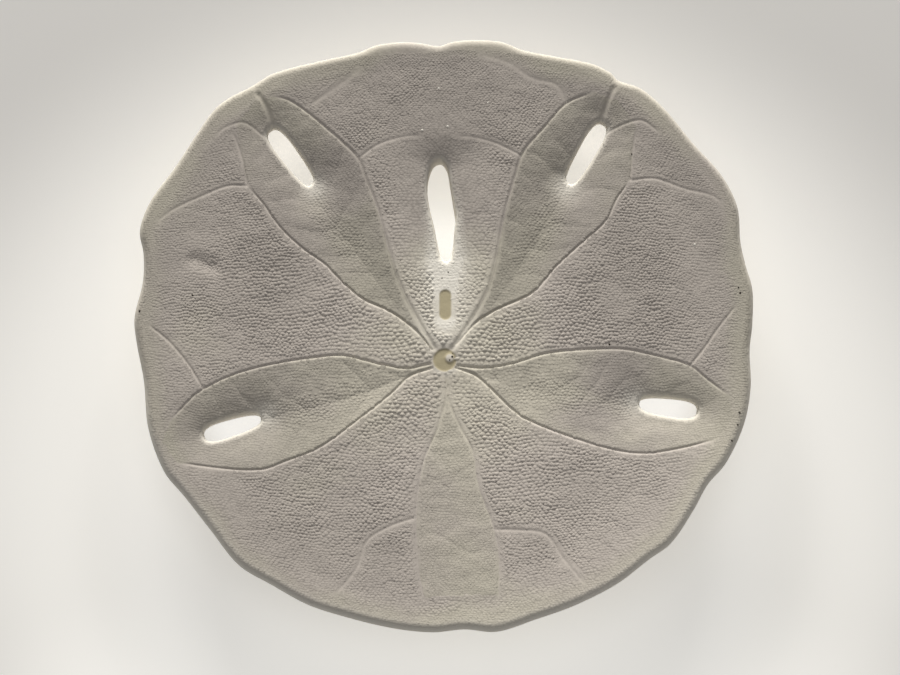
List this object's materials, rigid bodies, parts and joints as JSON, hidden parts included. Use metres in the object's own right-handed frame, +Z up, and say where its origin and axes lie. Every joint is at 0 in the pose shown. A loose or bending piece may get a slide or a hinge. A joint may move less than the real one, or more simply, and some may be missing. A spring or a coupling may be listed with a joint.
{
  "type": "sand dollar",
  "caption": "Bleached keyhole sand dollar lying mouth side up on its low dome: thin scalloped disc with slots, forked food grooves, mouth and vent pits, and petals beneath.",
  "frame": {"origin": "on the resting face, under the middle of the disc's box in plan", "axes": "+X across the disc, to the right in the picture; +Y towards the back end of the animal, where the long keyhole is; +Z up, out of the mouth side"},
  "size_m": [0.1108, 0.1075, 0.012],
  "materials": {
    "bleached_test": "matte"
  },
  "bodies": {
    "root": {"sand_dollar": "bleached_test"}
  },
  "joints": []
}
